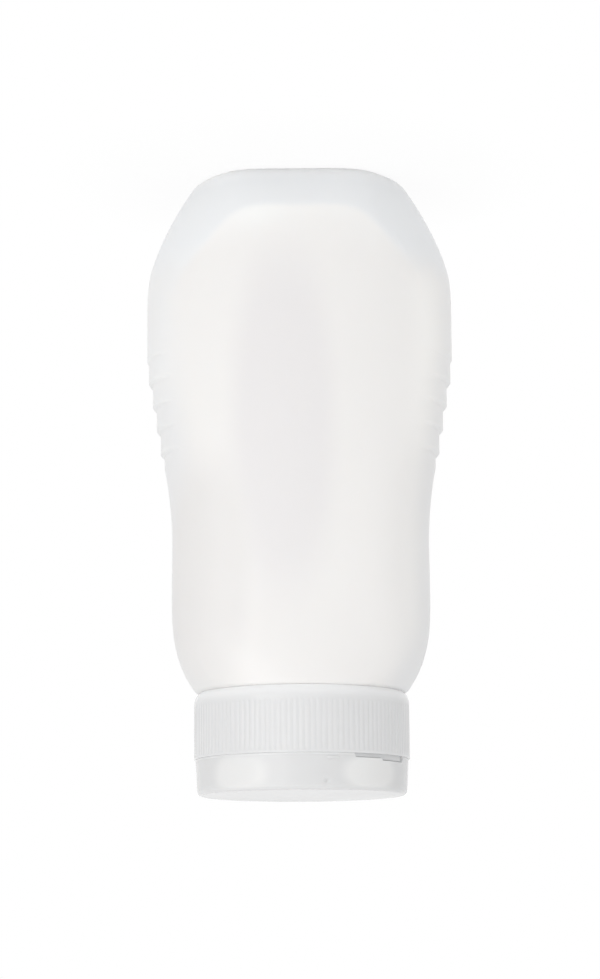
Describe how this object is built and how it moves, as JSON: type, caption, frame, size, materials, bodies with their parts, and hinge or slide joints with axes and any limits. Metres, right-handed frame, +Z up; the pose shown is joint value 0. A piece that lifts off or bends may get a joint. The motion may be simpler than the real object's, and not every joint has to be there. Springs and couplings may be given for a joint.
{
  "type": "squeeze bottle",
  "caption": "Oval milky squeeze bottle with stepped finger grips and a ribbed round screw cap with a flip-top lid.",
  "frame": {"origin": "centre of the part's bounding box at the base, where the bottle stands", "axes": "+Z up from the base to the lid, +X across the wide side, -Y towards the front that the picture shows"},
  "size_m": [0.084, 0.058, 0.1705],
  "materials": {
    "milky_plastic": "satin, milky and translucent",
    "cloudy_plastic": "satin, cloudy and translucent",
    "silicone": "soft, clear to milky",
    "foam": "closed-cell foam"
  },
  "bodies": {
    "bottle": {"bottle_body": "milky_plastic"},
    "seal": {"seal_liner": "foam"},
    "cap": {"cap_base": "cloudy_plastic", "slit_valve": "silicone", "valve_retainer": "cloudy_plastic"},
    "straps": {"hinge_strap": "cloudy_plastic", "hinge_band_left": "cloudy_plastic", "hinge_band_right": "cloudy_plastic"},
    "lid": {"flip_lid": "cloudy_plastic"}
  },
  "joints": [
    {"name": "cap_lift", "type": "slide", "parent": "bottle", "child": "seal", "axis": [0, 0, 1], "range_m": [0, 0.01058]},
    {"name": "cap_turn", "type": "hinge", "parent": "seal", "child": "cap", "pos_m": [0, 0, 0.15], "axis": [0, 0, 1], "range_deg": [0, 900]},
    {"name": "strap_fold", "type": "hinge", "parent": "cap", "child": "straps", "pos_m": [0.02091, 0.01817, 0.1558], "axis": [-0.6561, 0.7547, 0], "range_deg": [0, 75]},
    {"name": "lid_fold", "type": "hinge", "parent": "straps", "child": "lid", "pos_m": [0.02091, 0.01817, 0.1663], "axis": [-0.6561, 0.7547, 0], "range_deg": [0, 75]}
  ],
  "couplings": [
    {"joint": "cap_lift", "follows": "cap_turn", "m_per_rad": 0.00067323},
    {"joint": "strap_fold", "follows": "lid_fold", "ratio": 1}
  ]
}
